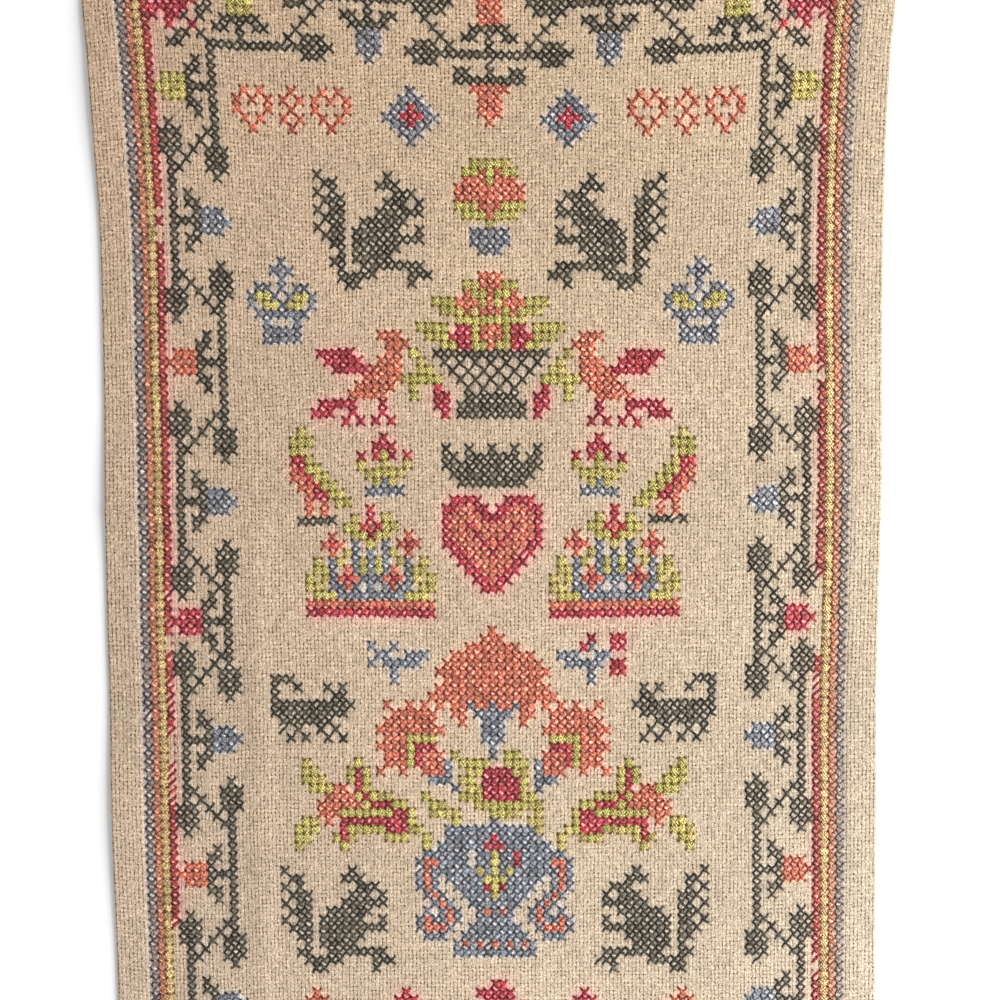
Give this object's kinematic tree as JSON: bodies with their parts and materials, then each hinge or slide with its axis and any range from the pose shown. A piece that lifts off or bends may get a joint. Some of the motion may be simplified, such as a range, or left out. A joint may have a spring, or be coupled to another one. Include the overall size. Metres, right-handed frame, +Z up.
{
  "type": "cross stitch sampler",
  "caption": "Long hemmed piece of cotton evenweave lying flat, cross stitched with stripes, a vine border and rows of flower, bird and animal motifs.",
  "frame": {"origin": "on the table under the middle of the cloth", "axes": "+Z up out of the stitched face, +Y towards the head of the sampler, +X to the viewer's right"},
  "size_m": [0.2392, 0.42, 0.0028],
  "materials": {
    "evenweave": "matte, aged cotton evenweave",
    "charcoal_thread": "soft stranded cotton",
    "coral_thread": "soft stranded cotton",
    "crimson_thread": "soft stranded cotton",
    "yellow_thread": "soft stranded cotton",
    "blue_thread": "soft stranded cotton"
  },
  "bodies": {
    "root": {"ground_cloth": "evenweave"}
  },
  "joints": []
}
